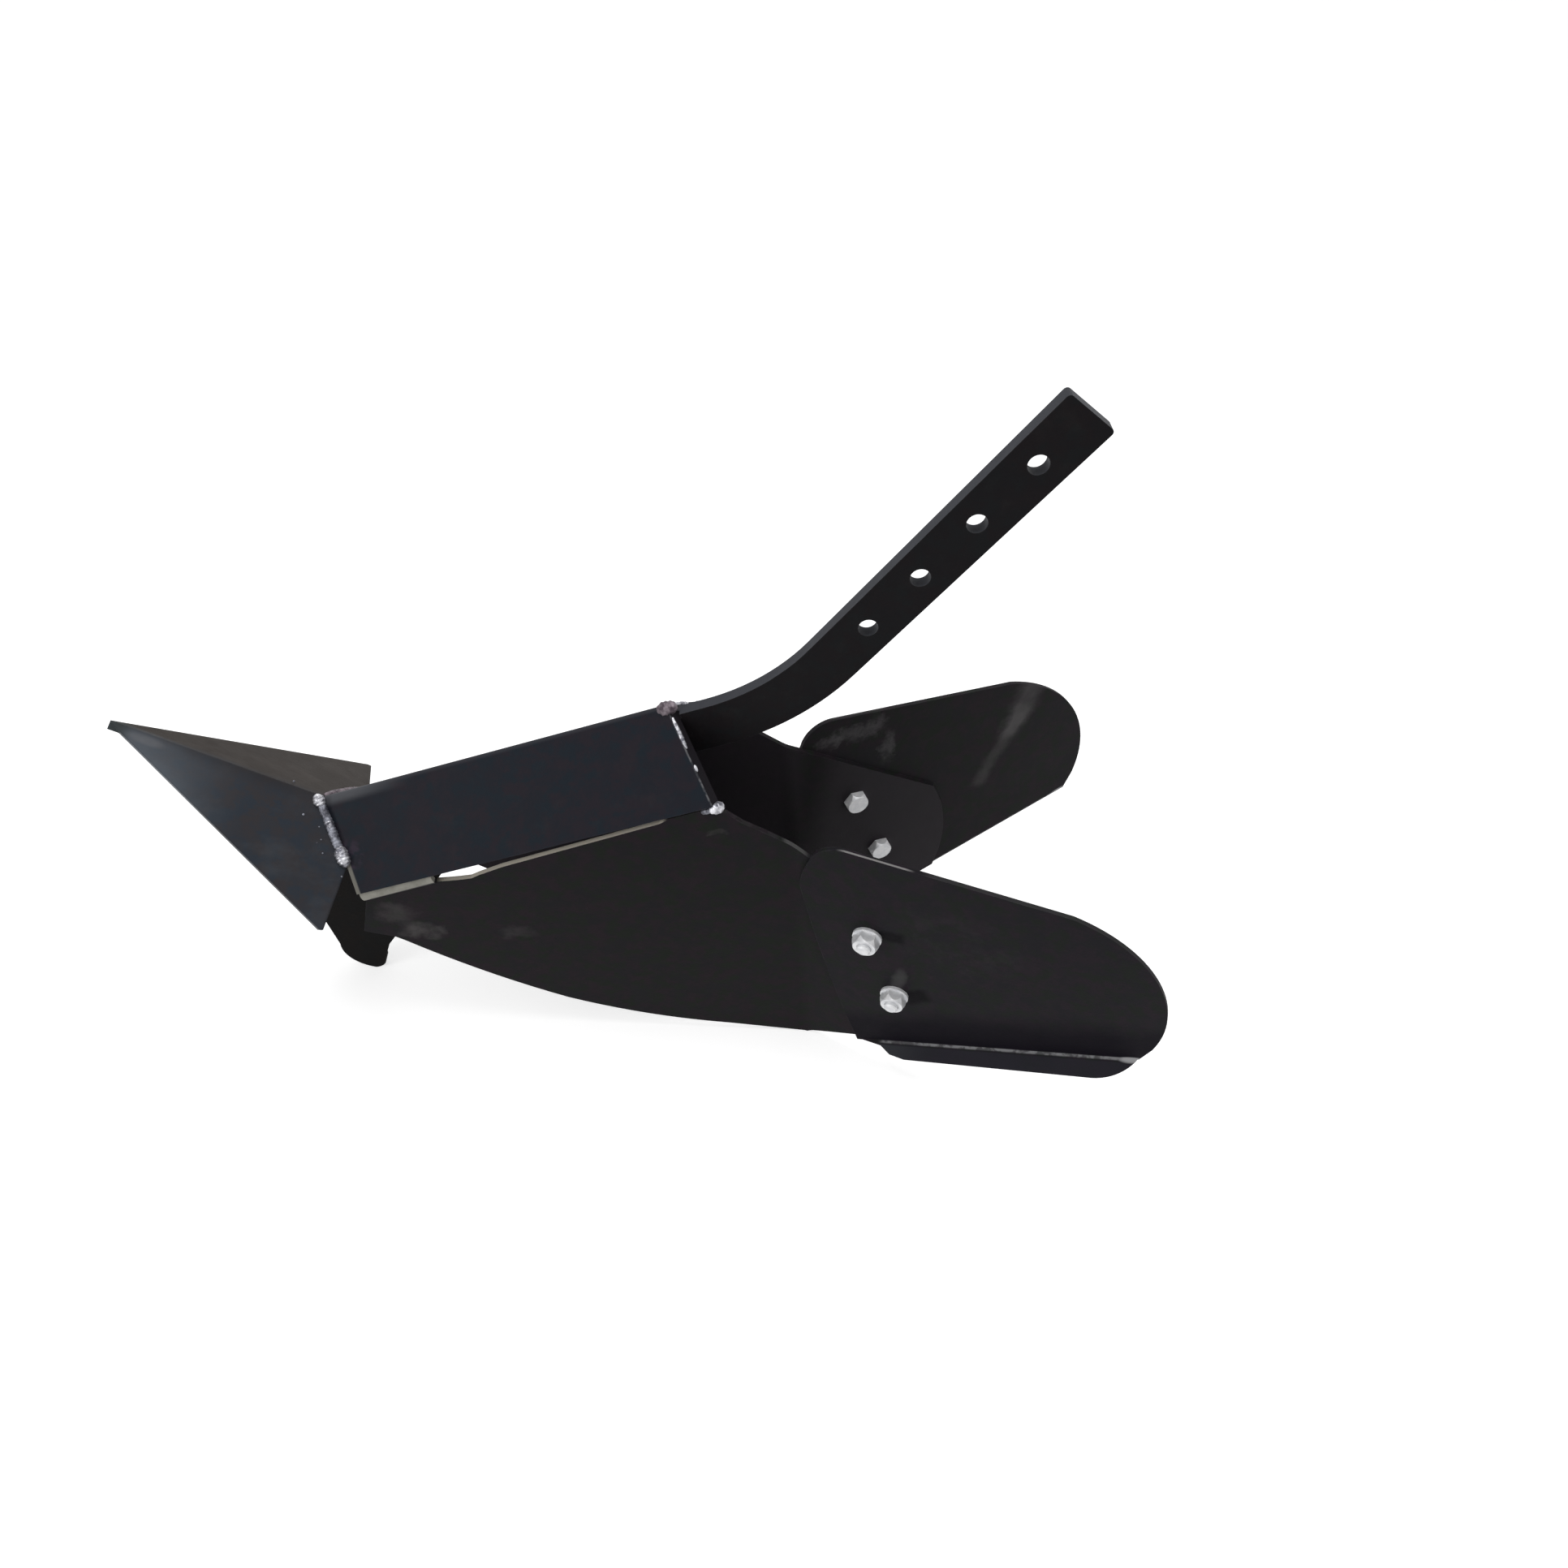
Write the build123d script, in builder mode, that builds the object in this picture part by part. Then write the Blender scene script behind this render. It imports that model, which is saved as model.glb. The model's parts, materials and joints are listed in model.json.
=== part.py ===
import os
from math import cos, radians, sin, sqrt
from build123d import *

# Ridger (hiller) attachment for a walking tiller, standing on the ground as it is photographed.
# +Z is up, the point of the share looks to -X, the wings to +X, and the XZ plane is the
# plane of symmetry. The origin is the bottom centre of the whole part. Left is the -Y side.
# A welded steel body: a flat bar shank, an angle laid ridge up as the breast, a folded plate
# share, a foot plate on edge, two bent moldboards, and two wings bolted on the outside.

os.makedirs("parts", exist_ok=True)

# Shank: flat bar with four pin holes, bent once above the breast
bar_width = 35.0
bar_thick = 8.0
hole_count = 4
hole_pitch = 45.0
hole_dia = 12.0
hole_top_x = 176.0
hole_top_z = 501.2
shank_slope = 59.75
shank_end_gap = 37.0
shank_bend_radius = 152.5
shank_inner_start = 152.0

# Breast: equal angle, ridge up
angle_leg = 70.0
angle_thick = 5.0
ridge_front_x = -234.8
ridge_front_z = 197.4
ridge_slope = 25.7
ridge_length = 253.2
ridge_round = 3.0
rear_cut_back = 12.8
rear_bevel = 0.7

# Share: two right-angled triangles of plate, folded along the ridge
share_length = 162.3
share_half_width = 86.0
share_thick = 6.0
share_heel_x = -203.13
share_heel_z = 185.42
share_slope = 26.8
share_tilt = 26.8
share_nose = 3.0
share_corner = 2.6

# Foot plate
foot_thick = 8.0

# Moldboards: plate set on edge below the edges of the breast, bent outwards at the rear
mold_thick = 3.5
mold_inside_toe = 4.0
mold_bend_x = 128.96
mold_bend_radius = 23.0
slit_front = 5.6
slit_at_weld = 5.0
slit_deep = 10.4
slit_mid = 6.4
slit_rear = 2.2

# Wings: plate with a folded lower lip, bolted outside the moldboards
wing_thick = 3.0
wing_flare = 19.02
wing_lean = 3.72
wing_lip = 16.0
wing_lip_fold = 45.0

# Fasteners: M10 hexagon bolts with washer and nut
bolt_dia = 10.0
bolt_length = 20.0
bolt_flats = 17.0
head_height = 6.4
nut_height = 8.4
washer_dia = 21.0
washer_thick = 2.0
plate_hole = 10.8
bolt_spots = [(-28.4, 163.2), (4.0, 101.4)]

# Directions shared by several pieces
slope = radians(ridge_slope)
along = Vector(cos(slope), 0, sin(slope))
above = Vector(-sin(slope), 0, cos(slope))
ridge_front = Vector(ridge_front_x, 0, ridge_front_z)


def ridge_point(s, h, y=0.0):
    """A point s along the ridge, h above it and y to the side."""
    return ridge_front + along * s + above * h + Vector(0, y, 0)


def unit(vector):
    return vector.normalized()


# Share plane on the left: fall of the ridge line and tilt of each half
fall = radians(share_slope)
tilt = radians(share_tilt)
share_run = Vector(cos(fall), 0, -sin(fall))
share_normal = Vector(sin(fall) * cos(tilt), -sin(tilt), cos(fall) * cos(tilt))
share_heel = Vector(share_heel_x, 0, share_heel_z)
share_tip = share_heel - share_run * share_length
left_share_top = Plane(origin=share_tip, x_dir=share_run, z_dir=share_normal)

# Wing plane on the left, through the middle of the wing plate, facing outwards
flare = radians(wing_flare)
lean = radians(wing_lean)
wing_out = Vector(-sin(flare) * cos(lean), -cos(flare) * cos(lean), -sin(lean))
toe = angle_leg / sqrt(2)
mold_mid_y = toe - mold_inside_toe
mold_behind = wing_thick / 2 + mold_thick / 2
wing_side = mold_mid_y + (hole_top_x - mold_bend_x) * sin(flare) / cos(flare) + mold_behind / (
    cos(flare) * cos(lean)
)
wing_origin = Vector(hole_top_x, -wing_side, 0)
left_wing_mid = Plane(
    origin=wing_origin,
    x_dir=Vector(cos(flare), -sin(flare), 0),
    z_dir=wing_out,
)


def wing_point(u, v, w=0.0):
    """A point u rearwards and v up on the left wing plane, w outwards from it."""
    return (
        wing_origin
        + left_wing_mid.x_dir * u
        + left_wing_mid.y_dir * v
        + left_wing_mid.z_dir * w
    )


# Shank
bar_top_drop = angle_thick * sqrt(2) + 0.43
leg_mid_drop = bar_top_drop + bar_width / 2
rise = radians(shank_slope)
up_bar = Vector(cos(rise), 0, sin(rise))
top_hole = Vector(hole_top_x, 0, hole_top_z)
bar_end = top_hole + up_bar * shank_end_gap
leg_start = ridge_point(shank_inner_start, -leg_mid_drop)
gap = top_hole - leg_start
leg_run = (gap.X * sin(rise) - gap.Z * cos(rise)) / sin(rise - slope)
bar_corner = leg_start + along * leg_run

with BuildPart() as shank:
    with BuildLine() as bar_path:
        Polyline(leg_start, bar_corner, bar_end)
        fillet(bar_path.vertices().sort_by_distance(bar_corner)[0], radius=shank_bend_radius)
    with BuildSketch(Plane(origin=leg_start, x_dir=(0, 1, 0), z_dir=along)):
        Rectangle(bar_thick, bar_width)
    sweep()
    with BuildSketch(Plane.XZ):
        for i in range(hole_count):
            centre = top_hole - up_bar * (hole_pitch * i)
            with Locations((centre.X, centre.Z)):
                Circle(hole_dia / 2)
    extrude(amount=bar_thick, both=True, mode=Mode.SUBTRACT)
    fillet(shank.edges().filter_by(Axis.Y).sort_by_distance(bar_end)[0:2], radius=2.5)
    # The leg inside the breast is ground roof-shaped, so that it sits up in the angle
    grind = bar_thick / 2 - 0.43
    with BuildSketch(Plane(origin=ridge_point(0, 0), x_dir=(0, 1, 0), z_dir=along)):
        for side in (-1, 1):
            with BuildLine():
                Polyline(
                    (side * 0.43, -bar_top_drop),
                    (side * bar_thick / 2, -bar_top_drop - grind),
                    (side * bar_thick / 2, -bar_top_drop),
                    close=True,
                )
            make_face()
    extrude(amount=ridge_length + 6.5, mode=Mode.SUBTRACT)
shank.part.label = "shank"
export_step(shank.part, "parts/shank.step")

# Breast: the left leg of the angle is drawn, cut at both ends, and mirrored
inset = angle_thick / sqrt(2)
apex = angle_thick * sqrt(2)
rear_edge = unit(Vector(0, -toe, 0) + above * (-toe) + along * (rear_cut_back * toe / 46.5))
rear_face_in = unit(Vector(0, 1, 0) + above * (-1)) + along * rear_bevel
rear_normal = unit(rear_edge.cross(rear_face_in))
if rear_normal.dot(along) < 0:
    rear_normal = rear_normal * -1

with BuildPart() as breast:
    with BuildSketch(Plane(origin=ridge_point(-20, 0), x_dir=(0, 1, 0), z_dir=along)):
        with BuildLine():
            Polyline(
                (0, 0),
                (-toe, -toe),
                (-toe + inset, -toe - inset),
                (0, -apex),
                close=True,
            )
        make_face()
    extrude(amount=ridge_length + 60)
    split(bisect_by=left_share_top, keep=Keep.TOP)
    split(bisect_by=Plane(origin=ridge_point(ridge_length, 0), z_dir=rear_normal), keep=Keep.BOTTOM)
    mirror(about=Plane.XZ)
    ridge_edge = breast.edges().filter_by(lambda e: abs(e.tangent_at(0.5).dot(along)) > 0.999)
    fillet(ridge_edge.sort_by(Axis.Z)[-1], radius=ridge_round)
breast.part.label = "breast"
export_step(breast.part, "parts/breast.step")

# Share
with BuildPart() as share:
    with BuildSketch(left_share_top):
        with BuildLine():
            Polyline(
                (0, 0),
                (share_length, 0),
                (share_length, -share_half_width + share_corner * 0.75),
                (share_length - share_corner, -share_half_width + share_corner * 0.6),
                (share_nose, -share_nose * 0.8),
                (0, -share_nose * 0.3),
                close=True,
            )
        make_face()
    extrude(amount=-share_thick)
    mirror(about=Plane.XZ)
share.part.label = "share"
export_step(share.part, "parts/share.step")

# Foot plate: a leaf of plate on edge, welded up in the angle and butted under the share
leaf_drop = apex + foot_thick / 2
front_top = ridge_point(46.3, -leaf_drop)
rear_top = ridge_point(shank_inner_start - 1.5, -leaf_drop)
with BuildPart() as foot_plate:
    with BuildSketch(Plane.XZ):
        with BuildLine():
            Polyline(
                (-205.1, 33.4),
                (-199.7, 43.8),
                (rear_top.X, rear_top.Z),
                (front_top.X, front_top.Z),
                (share_heel.X - 1.4, share_heel.Z - 2.5),
                (share_heel.X - 10.9, share_heel.Z - 7.5),
                (-238.5, 104.0),
                (-249.5, 62.0),
                (-242.6, 30.4),
            )
            ThreePointArc((-242.6, 30.4), (-236.2, 10.5), (-219.0, 0.0))
            ThreePointArc((-219.0, 0.0), (-213.4, 3.2), (-210.5, 13.0))
            Line((-210.5, 13.0), (-205.1, 33.4))
        make_face()
    extrude(amount=foot_thick / 2, both=True)
    add(share.part, mode=Mode.SUBTRACT)
foot_plate.part.label = "foot_plate"
export_step(foot_plate.part, "parts/foot_plate.step")

# Moldboards: the front is upright and parallel to the plane of symmetry, the rear lies in the
# wing plane, and the two meet in a bend
left_mold_mid = Plane(
    origin=wing_point(0, 0, -mold_behind),
    x_dir=left_wing_mid.x_dir,
    z_dir=wing_out,
)


def bend_point(z):
    """The point of the moldboard's bend at the height z."""
    offset = left_mold_mid.origin.dot(wing_out)
    x = (offset + mold_mid_y * wing_out.Y - z * wing_out.Z) / wing_out.X
    return Vector(x, -mold_mid_y, z)


bend_low = bend_point(0)
bend_high = bend_point(232.5)
bend_run = unit(bend_high - bend_low)
forward = unit(bend_run.cross(Vector(0, 1, 0)))
rearward = unit(wing_out.cross(bend_run))
if forward.X > 0:
    forward = forward * -1
if rearward.X < 0:
    rearward = rearward * -1
section = Plane(origin=bend_low - bend_run * 60, x_dir=forward, z_dir=bend_run)
rear_local = (rearward.dot(section.x_dir), rearward.dot(section.y_dir))
under_toe = -toe - inset
toe_end = ridge_point(ridge_length + 4.8, under_toe)


def slit_point(s, drop):
    """A point s along the breast on the moldboard's top edge, drop below the breast."""
    place = ridge_point(s, under_toe - drop)
    return (place.X, place.Z)


def crest(share_of_way, lift):
    """A point on the moldboard's top edge between the toe of the breast and the bend."""
    place = toe_end + (bend_high - toe_end) * share_of_way
    return (place.X, place.Z + lift)


def behind_wing(u, v):
    """Side view of a point u rearwards and v up on the moldboard's rear part."""
    place = wing_point(u, v, -mold_behind)
    return (place.X, place.Z)


with BuildPart() as left_moldboard:
    with BuildSketch(section):
        with BuildLine():
            bent = FilletPolyline(
                (420, 0),
                (0, 0),
                (rear_local[0] * 260, rear_local[1] * 260),
                radius=mold_bend_radius,
            )
        trace(bent, line_width=mold_thick)
    extrude(amount=420)
    with BuildSketch(Plane.XZ) as moldboard_outline:
        with BuildLine():
            Polyline(
                behind_wing(42.0, 161.0),
                (bend_high.X, bend_high.Z),
                crest(0.66, 2.2),
                crest(0.44, 3.0),
                crest(0.25, 6.2),
                (toe_end.X, toe_end.Z),
                slit_point(ridge_length - 18, 0),
                slit_point(ridge_length - 25, slit_rear),
                slit_point(114.0, slit_mid),
                slit_point(96.0, slit_deep - 1.8),
                slit_point(89.0, slit_deep - 0.4),
            )
            ThreePointArc(
                slit_point(89.0, slit_deep - 0.4),
                slit_point(79.0, slit_deep - 2.2),
                slit_point(66.0, slit_at_weld),
            )
            Polyline(
                slit_point(66.0, slit_at_weld),
                slit_point(11.7, slit_front),
                (-205.0, 112.0),
                (-184.4, 107.0),
                (-177.6, 102.8),
            )
            ThreePointArc((-177.6, 102.8), (-122.9, 67.0), (-63.5, 36.3))
            ThreePointArc((-63.5, 36.3), (-0.3, 17.2), (65.1, 7.6))
            Polyline(
                (65.1, 7.6),
                (bend_low.X, 0),
                behind_wing(-46.7, 3.3),
                behind_wing(-33.9, 9.7),
                behind_wing(-10.3, 21.0),
                behind_wing(64.0, 61.5),
            )
            ThreePointArc(behind_wing(64.0, 61.5), behind_wing(61.2, 119.9), behind_wing(42.0, 161.0))
        make_face()
    extrude(moldboard_outline.sketch, amount=300, mode=Mode.INTERSECT)
    with BuildSketch(left_mold_mid):
        for spot in bolt_spots:
            with Locations(spot):
                Circle(plate_hole / 2)
    extrude(amount=mold_thick, both=True, mode=Mode.SUBTRACT)
left_moldboard.part.label = "left_moldboard"
export_step(left_moldboard.part, "parts/left_moldboard.step")

# Wings
fold_front = (-10.3, 19.1)
fold_rear = (180.9, 122.5)
fold_start = wing_point(*fold_front)
fold_stop = wing_point(*fold_rear)
fold_run = unit(fold_stop - fold_start)
fold_length = (fold_stop - fold_start).length
in_plate = unit(fold_run.cross(wing_out))
if in_plate.Z > 0:
    in_plate = in_plate * -1
lip_turn = radians(wing_lip_fold)
lip_out = in_plate * cos(lip_turn) + wing_out * sin(lip_turn)
lip_mid = Plane(origin=fold_start, x_dir=fold_run, z_dir=fold_run.cross(lip_out))

with BuildPart() as left_wing:
    with BuildSketch(left_wing_mid):
        with BuildLine():
            ThreePointArc(fold_front, (-50.5, 110.0), (-83.0, 197.0))
            ThreePointArc((-83.0, 197.0), (-83.2, 212.0), (-80.8, 226.0))
            ThreePointArc((-80.8, 226.0), (-74.0, 241.0), (-60.0, 247.8))
            Line((-60.0, 247.8), (90.0, 253.6))
            ThreePointArc((90.0, 253.6), (151.5, 223.8), (184.0, 139.0))
            Polyline((184.0, 139.0), fold_rear, fold_front)
        make_face()
    extrude(amount=wing_thick / 2, both=True)
    with BuildSketch(lip_mid):
        with BuildLine():
            Polyline(
                (fold_length, 0),
                (0, 0),
                (20.0, wing_lip * 0.31),
                (27.0, wing_lip * 0.72),
                (39.0, wing_lip - 1.2),
                (fold_length - 37.3, wing_lip + 1),
            )
            ThreePointArc(
                (fold_length - 37.3, wing_lip + 1),
                (fold_length - 15.3, wing_lip - 3.5),
                (fold_length, 0),
            )
        make_face()
    extrude(amount=wing_thick / 2, both=True)
    with BuildSketch(Plane(origin=fold_start, z_dir=fold_run)):
        Circle(wing_thick / 2)
    extrude(amount=fold_length)
    with BuildSketch(left_wing_mid):
        for spot in bolt_spots:
            with Locations(spot):
                Circle(plate_hole / 2)
    extrude(amount=wing_thick, both=True, mode=Mode.SUBTRACT)
left_wing.part.label = "left_wing"
export_step(left_wing.part, "parts/left_wing.step")


def bolt_plane(spot, w):
    """A plane square to a bolt, w outwards from the middle of the wing plate."""
    return Plane(origin=wing_point(*spot, w), x_dir=left_wing_mid.x_dir, z_dir=wing_out)


# Fasteners: the heads bear on the moldboards inside, the nuts on the wings outside
corner_radius = bolt_flats / sqrt(3)
head_seat = -wing_thick / 2 - mold_thick
outside = wing_thick / 2
left_pieces = {"moldboard": left_moldboard.part, "wing": left_wing.part}

for number, spot in enumerate(bolt_spots, start=1):
    with BuildPart() as bolt:
        with BuildSketch(bolt_plane(spot, head_seat)):
            RegularPolygon(corner_radius, 6)
        extrude(amount=-head_height)
        with BuildSketch(bolt_plane(spot, head_seat - head_height)):
            Circle(bolt_flats / 2 - 0.3)
        extrude(amount=head_height, taper=-24, mode=Mode.INTERSECT)
        with BuildSketch(bolt_plane(spot, head_seat)):
            Circle(bolt_dia / 2)
        extrude(amount=bolt_length)
        tip_edge = bolt.edges().filter_by(GeomType.CIRCLE).sort_by_distance(wing_point(*spot, 40))
        chamfer(tip_edge[0], length=1.2)
    with BuildPart() as washer:
        with BuildSketch(bolt_plane(spot, outside)):
            Circle(washer_dia / 2)
            Circle(bolt_dia / 2 + 0.35, mode=Mode.SUBTRACT)
        extrude(amount=washer_thick)
    with BuildPart() as nut:
        with BuildSketch(bolt_plane(spot, outside + washer_thick)):
            RegularPolygon(corner_radius, 6)
        extrude(amount=nut_height)
        with BuildSketch(bolt_plane(spot, outside + washer_thick + nut_height)):
            Circle(bolt_flats / 2 - 0.3)
        extrude(amount=-nut_height, taper=-20, mode=Mode.INTERSECT)
        with BuildSketch(bolt_plane(spot, outside + washer_thick)):
            Circle(bolt_dia / 2 + 0.3)
        extrude(amount=nut_height, mode=Mode.SUBTRACT)
    left_pieces[f"bolt_{number}"] = bolt.part
    left_pieces[f"washer_{number}"] = washer.part
    left_pieces[f"nut_{number}"] = nut.part

# Weld beads: round runs along the seams, cut to the pieces they lie against
toe_mid = toe - inset / 2
share_seam = unit(share_normal.cross(unit(Vector(0, -1, 0) + above)))
if share_seam.Z > 0:
    share_seam = share_seam * -1
drop = (share_tip - ridge_front).dot(share_normal) / along.dot(share_normal)
seam_top = ridge_point(drop, 0)
to_rear = share_length - (seam_top - share_tip).dot(share_run)
seam_length = to_rear / share_seam.dot(share_run)
rear_top = ridge_point(ridge_length, 0)

seam_front = unit(share_normal.cross(share_seam))
if seam_front.X > 0:
    seam_front = seam_front * -1

with BuildPart() as ridge_weld:
    with BuildSketch(Plane(origin=rear_top + above * -4.6 + along * -6, z_dir=along)):
        Circle(5.2)
    extrude(amount=12.5)
    fillet(ridge_weld.edges(), radius=2.6)
    add(breast.part, mode=Mode.SUBTRACT)
    add(shank.part, mode=Mode.SUBTRACT)
ridge_weld.part.label = "ridge_weld"
export_step(ridge_weld.part, "parts/ridge_weld.step")

weld_runs = {
    "share_weld": (
        seam_top + share_seam * -2.5 + share_normal * 0.5 + seam_front * 3.4,
        seam_top + share_seam * (seam_length - 4) + share_normal * 1.2 + seam_front * 0.4,
        4.6,
    ),
    "thin_share_weld": (
        seam_top + share_seam * 1.5 + share_normal * 0.4 + seam_front * 0.6,
        seam_top + share_seam * (seam_length - 6) + share_normal * 0.4 + seam_front * 0.6,
        2.9,
    ),
    "breast_rear_weld": (
        rear_top + rear_edge * 10.5 + rear_face_in * 1.5,
        rear_top + rear_edge * 31 + rear_face_in * 1.5,
        2.6,
    ),
}
neighbours = (share.part, breast.part, shank.part, left_moldboard.part, ridge_weld.part)
for weld_name, (start, stop, radius) in weld_runs.items():
    with BuildPart() as weld:
        with BuildSketch(Plane(origin=start, z_dir=stop - start)):
            Circle(radius)
        extrude(amount=(stop - start).length)
        fillet(weld.edges(), radius=radius * 0.5)
        for piece in neighbours:
            add(piece, mode=Mode.SUBTRACT)
        split(bisect_by=Plane.XZ, keep=Keep.TOP)
    left_pieces[weld_name] = weld.part

# The moldboard's rear weld fills the notch between the toe of the angle and the moldboard
mold_face = -mold_mid_y - mold_thick / 2
with BuildPart() as toe_weld:
    with BuildSketch(Plane(origin=ridge_point(ridge_length - 1.5, 0), x_dir=(0, 1, 0), z_dir=along)):
        with BuildLine():
            Polyline(
                (mold_face, under_toe - 4),
                (mold_face, under_toe),
                (-toe + inset, under_toe),
                (-toe + 0.5, -toe - 0.5),
            )
            ThreePointArc(
                (-toe + 0.5, -toe - 0.5),
                (mold_face - 4.0, under_toe + 0.4),
                (mold_face, under_toe - 4),
            )
        make_face()
    extrude(amount=14)
left_pieces["moldboard_rear_weld"] = toe_weld.part

# The moldboard's front weld bridges the slit, which narrows rearwards
with BuildPart() as slit_weld:
    for s, slit in ((11.7, slit_front), (66.0, slit_at_weld)):
        with BuildSketch(Plane(origin=ridge_point(s, 0), x_dir=(0, 1, 0), z_dir=along)):
            with BuildLine():
                Polyline(
                    (mold_face, under_toe - slit - 0.8),
                    (mold_face, under_toe - slit),
                    (-toe + inset, under_toe - slit),
                    (-toe + inset, under_toe),
                    (-toe + 1.2, -toe - 1.2),
                )
                ThreePointArc(
                    (-toe + 1.2, -toe - 1.2),
                    (-toe - 0.4, under_toe - slit / 2 + 0.6),
                    (mold_face, under_toe - slit - 0.8),
                )
            make_face()
    loft(ruled=True)
left_pieces["moldboard_front_weld"] = slit_weld.part

# The right side mirrors the left, but for its share weld, which is thinner
right_share_weld = left_pieces.pop("thin_share_weld")
for name, piece in left_pieces.items():
    if name not in ("moldboard", "wing"):
        piece.label = f"left_{name}"
        export_step(piece, f"parts/left_{name}.step")
    with BuildPart() as right_piece:
        mirror(right_share_weld if name == "share_weld" else piece, about=Plane.XZ)
    right_piece.part.label = f"right_{name}"
    export_step(right_piece.part, f"parts/right_{name}.step")
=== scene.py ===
import json
import math
import random

import bpy
from mathutils import Matrix, Vector


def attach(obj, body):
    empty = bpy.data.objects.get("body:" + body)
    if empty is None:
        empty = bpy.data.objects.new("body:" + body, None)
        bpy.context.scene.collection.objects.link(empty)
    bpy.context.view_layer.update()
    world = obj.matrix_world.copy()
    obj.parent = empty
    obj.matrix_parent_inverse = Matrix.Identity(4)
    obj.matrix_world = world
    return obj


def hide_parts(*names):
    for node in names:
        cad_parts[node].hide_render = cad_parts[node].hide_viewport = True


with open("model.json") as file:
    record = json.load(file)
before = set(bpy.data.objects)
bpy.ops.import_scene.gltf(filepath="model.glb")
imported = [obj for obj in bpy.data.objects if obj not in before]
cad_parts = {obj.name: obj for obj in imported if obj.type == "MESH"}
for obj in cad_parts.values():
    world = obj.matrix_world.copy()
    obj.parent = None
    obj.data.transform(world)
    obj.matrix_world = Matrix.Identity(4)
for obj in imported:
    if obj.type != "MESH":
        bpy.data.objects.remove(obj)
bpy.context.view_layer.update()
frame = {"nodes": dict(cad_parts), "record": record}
scene = bpy.context.scene
mm = 0.001

# Sizes of the ridger, as in the part: +Z up, the share points to -X, left is -Y
slope = math.radians(25.7)
ridge_front = Vector((-234.8, 0, 197.4)) * mm
ridge_length = 253.2 * mm
angle_leg = 70 * mm
rear_cut_back = 12.8
rear_cut_drop = 46.5
rear_bevel = 0.7
share_heel = Vector((-203.13, 0, 185.42)) * mm
share_length = 162.3 * mm
share_fall = math.radians(26.8)
share_tilt = math.radians(26.8)
wing_flare = math.radians(19.02)
wing_lean = math.radians(3.72)
wing_origin = Vector((176.0, -65.157, 0)) * mm
fold_front = Vector((-10.3, 19.1)) * mm
fold_rear = Vector((180.9, 122.5)) * mm
bolt_places = ((1, -28.4, 163.2), (2, 4.0, 101.4))
bolt_end = 12.3
leftwards = Vector((0, -1, 0))


def turned_to(vector, side):
    """The vector or its opposite, whichever points to the given side."""
    return vector if vector.dot(side) > 0 else -vector


# Breast: along its ridge, square above it, and its cut at the rear
along = Vector((math.cos(slope), 0, math.sin(slope)))
above = Vector((-math.sin(slope), 0, math.cos(slope)))
toe = angle_leg / math.sqrt(2)
rear_top = ridge_front + along * ridge_length
rear_edge = (leftwards * toe - above * toe + along * (rear_cut_back * toe / rear_cut_drop)).normalized()
rear_face_in = (-leftwards - above).normalized() + along * rear_bevel
rear_normal = turned_to(rear_edge.cross(rear_face_in).normalized(), along)

# Share: from its tip down its ridge, and the seam where it meets the breast
share_run = Vector((math.cos(share_fall), 0, -math.sin(share_fall)))
share_normal = Vector((
    math.sin(share_fall) * math.cos(share_tilt),
    -math.sin(share_tilt),
    math.cos(share_fall) * math.cos(share_tilt),
))
share_tip = share_heel - share_run * share_length
flange_normal = (above + leftwards).normalized()
share_seam = turned_to(share_normal.cross(flange_normal).normalized(), Vector((0, 0, -1)))
seam_front = turned_to(share_normal.cross(share_seam).normalized(), Vector((-1, 0, 0)))
seam_start = (share_tip - ridge_front).dot(share_normal) / along.dot(share_normal)
seam_top = ridge_front + along * seam_start
seam_length = (share_length - (seam_top - share_tip).dot(share_run)) / share_seam.dot(share_run)

# Left wing: square out of its plane, rearwards and up in it
wing_out = Vector((
    -math.sin(wing_flare) * math.cos(wing_lean),
    -math.cos(wing_flare) * math.cos(wing_lean),
    -math.sin(wing_lean),
))
wing_back = Vector((math.cos(wing_flare), -math.sin(wing_flare), 0))
wing_up = wing_out.cross(wing_back)
fold_run = (fold_rear - fold_front).normalized()


def ridge_point(s, h, y=0.0):
    """A point s along the ridge, h above it and y to the side, all in millimetres."""
    return ridge_front + (along * s + above * h + Vector((0, y, 0))) * mm


def share_seam_point(down, rise, front):
    """A point down the left share seam, above the share and towards its point, in millimetres."""
    return seam_top + (share_seam * down + share_normal * rise + seam_front * front) * mm


def rear_cut_point(down):
    """A point in the middle of the left rear cut's thickness, in millimetres from the ridge."""
    return rear_top + (rear_edge * down + rear_face_in * 0.5) * mm


def on_side(side, point):
    """A point or direction of the left side, mirrored if it is wanted on the right."""
    return Vector((point.x, -point.y, point.z)) if side == "right" else point


# Camera at the photo's place: lens and pose solved from the part's own symmetry
def look():
    data = bpy.data.cameras.new("camera")
    data.sensor_width = 36.0
    data.lens = 25.5537
    camera = bpy.data.objects.new("camera", data)
    scene.collection.objects.link(camera)
    right = Vector((0.9896214, -0.0398211, 0.1380718))
    down = Vector((0.0648700, -0.7335635, -0.6765179))
    ahead = Vector((0.1282242, 0.6784533, -0.7233669))
    place = Vector((-0.0194593, -0.5154171, 0.7907200))
    turn = Matrix((right, -down, -ahead)).transposed()
    camera.matrix_world = Matrix.Translation(place) @ turn.to_4x4()
    scene.camera = camera


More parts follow.
